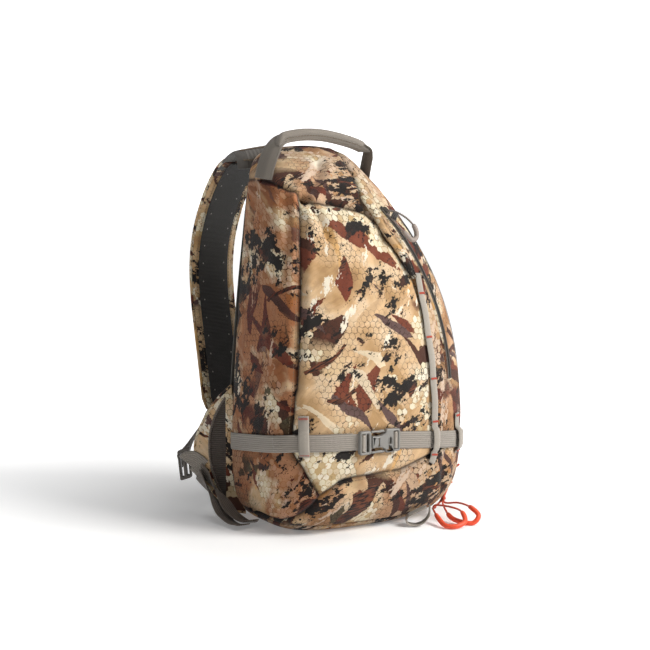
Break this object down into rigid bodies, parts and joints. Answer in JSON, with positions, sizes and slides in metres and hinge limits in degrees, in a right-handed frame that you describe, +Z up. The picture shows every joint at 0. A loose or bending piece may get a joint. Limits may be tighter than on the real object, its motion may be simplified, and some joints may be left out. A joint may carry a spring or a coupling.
{
  "type": "sling bag",
  "caption": "Stuffed teardrop sling bag with one wide padded shoulder strap, haul handle, zipped compartments and a buckled compression strap.",
  "frame": {"origin": "centre of the flat base, on the surface the bag stands on", "axes": "+Z up, -Y the front face with the buckle, +Y the back that faces the wearer, +X the side with the main zip"},
  "size_m": [0.3362, 0.3435, 0.4839],
  "materials": {
    "camo_fabric": "printed woven, matt",
    "lining": "plain woven, matt",
    "spacer_mesh": "ribbed air mesh",
    "stiffener": "smooth sheet",
    "webbing": "ribbed nylon webbing",
    "buckle_plastic": "fine texture",
    "dark_plastic": "fine texture",
    "zip_tape": "coil zip",
    "slider_metal": "dark lacquer",
    "grey_cord": "braided cord",
    "orange_cord": "braided cord",
    "grey_rubber": "matt",
    "orange_rubber": "matt"
  },
  "bodies": {
    "bag": {"left_side_panel": "camo_fabric", "top_panel": "camo_fabric", "front_panel": "camo_fabric", "right_side_panel": "camo_fabric", "lower_front_panel": "camo_fabric", "base_panel": "camo_fabric", "back_panel": "lining", "back_foam": "spacer_mesh", "frame_sheet": "stiffener", "inner_sleeve": "lining", "pocket_divider": "lining", "back_pad_left": "spacer_mesh", "back_pad_right": "spacer_mesh", "lumbar_pad": "spacer_mesh", "compression_strap_left": "webbing", "compression_strap_right": "webbing", "strap_keeper_left": "webbing", "strap_keeper_right": "webbing", "daisy_chain": "webbing", "buckle_female": "buckle_plastic", "front_zip_track": "zip_tape", "main_zip_track": "zip_tape", "strap_yoke": "lining", "side_wing": "camo_fabric", "wing_mesh": "spacer_mesh", "wing_tab": "webbing", "strap_tail": "webbing", "bottom_loop": "webbing", "side_loop": "webbing", "storm_flap": "camo_fabric"},
    "handle": {"handle_leg_left": "webbing", "handle_leg_right": "webbing", "handle_grip": "webbing"},
    "shoulder_strap": {"strap_pad": "camo_fabric", "strap_liner": "spacer_mesh", "strap_webbing": "webbing"},
    "ladder_lock": {"ladder_lock": "dark_plastic"},
    "buckle_male": {"buckle_male": "buckle_plastic"},
    "prong_upper": {"buckle_prong_upper": "buckle_plastic"},
    "prong_lower": {"buckle_prong_lower": "buckle_plastic"},
    "front_slider": {"front_slider": "slider_metal"},
    "front_pull": {"front_pull_cord": "grey_cord", "front_pull_sleeve": "grey_rubber"},
    "main_slider_first": {"main_slider_first": "slider_metal"},
    "main_pull_first": {"main_pull_first_cord": "orange_cord", "main_pull_first_sleeve": "orange_rubber"},
    "main_slider_second": {"main_slider_second": "slider_metal"},
    "main_pull_second": {"main_pull_second_cord": "orange_cord", "main_pull_second_sleeve": "orange_rubber"}
  },
  "joints": [
    {"name": "handle_swing", "type": "hinge", "parent": "bag", "child": "handle", "pos_m": [-0.0295, 0.027, 0.4225], "axis": [0.9998, 0, -0.0192], "range_deg": [-30, 30], "stiffness_Nm_per_rad": 0.4},
    {"name": "shoulder_strap_swing", "type": "hinge", "parent": "bag", "child": "shoulder_strap", "pos_m": [-0.08, 0.12, 0.44], "axis": [-0.2474, 0.0155, -0.9688], "range_deg": [-12, 12], "stiffness_Nm_per_rad": 3},
    {"name": "ladder_lock_tilt", "type": "hinge", "parent": "bag", "child": "ladder_lock", "pos_m": [-0.167, 0.1087, 0.066], "axis": [-0.069, 0.061, 0.9958], "range_deg": [-10, 10], "stiffness_Nm_per_rad": 0.05},
    {"name": "buckle_release", "type": "slide", "parent": "bag", "child": "buckle_male", "axis": [-1, 0, 0], "range_m": [0, 0.025]},
    {"name": "prong_upper_squeeze", "type": "hinge", "parent": "buckle_male", "child": "prong_upper", "pos_m": [-0.0307, -0.0993, 0.12596], "axis": [0, 1, 0], "range_deg": [0, 5], "stiffness_Nm_per_rad": 0.2},
    {"name": "prong_lower_squeeze", "type": "hinge", "parent": "buckle_male", "child": "prong_lower", "pos_m": [-0.0307, -0.0993, 0.10166], "axis": [0, -1, 0], "range_deg": [0, 5], "stiffness_Nm_per_rad": 0.2},
    {"name": "front_zip_run", "type": "hinge", "parent": "bag", "child": "front_slider", "pos_m": [-0.21889, 0.06155, 0.16088], "axis": [0.4046, 0.9107, -0.0832], "range_deg": [0, 35]},
    {"name": "front_pull_swing", "type": "hinge", "parent": "front_slider", "child": "front_pull", "pos_m": [0.0255, -0.0455, 0.3805], "axis": [-0.8149, -0.442, -0.375], "range_deg": [0, 60]},
    {"name": "main_zip_run_first", "type": "hinge", "parent": "bag", "child": "main_slider_first", "pos_m": [-0.22767, 0.0615, 0.13131], "axis": [0.2393, 0.9691, 0.0601], "range_deg": [-49, 0]},
    {"name": "main_pull_first_swing", "type": "hinge", "parent": "main_slider_first", "child": "main_pull_first", "pos_m": [0.143, -0.037, 0.057], "axis": [-0.9542, 0.2991, 0], "range_deg": [0, 35]},
    {"name": "main_zip_run_second", "type": "hinge", "parent": "bag", "child": "main_slider_second", "pos_m": [-0.22767, 0.0615, 0.13131], "axis": [0.2393, 0.9691, 0.0601], "range_deg": [-1.1, 0.8]},
    {"name": "main_pull_second_swing", "type": "hinge", "parent": "main_slider_second", "child": "main_pull_second", "pos_m": [0.137, -0.0345, 0.032], "axis": [-0.8176, 0.5758, 0], "range_deg": [0, 28]}
  ],
  "couplings": [
    {"joint": "prong_lower_squeeze", "follows": "prong_upper_squeeze", "ratio": 1}
  ]
}
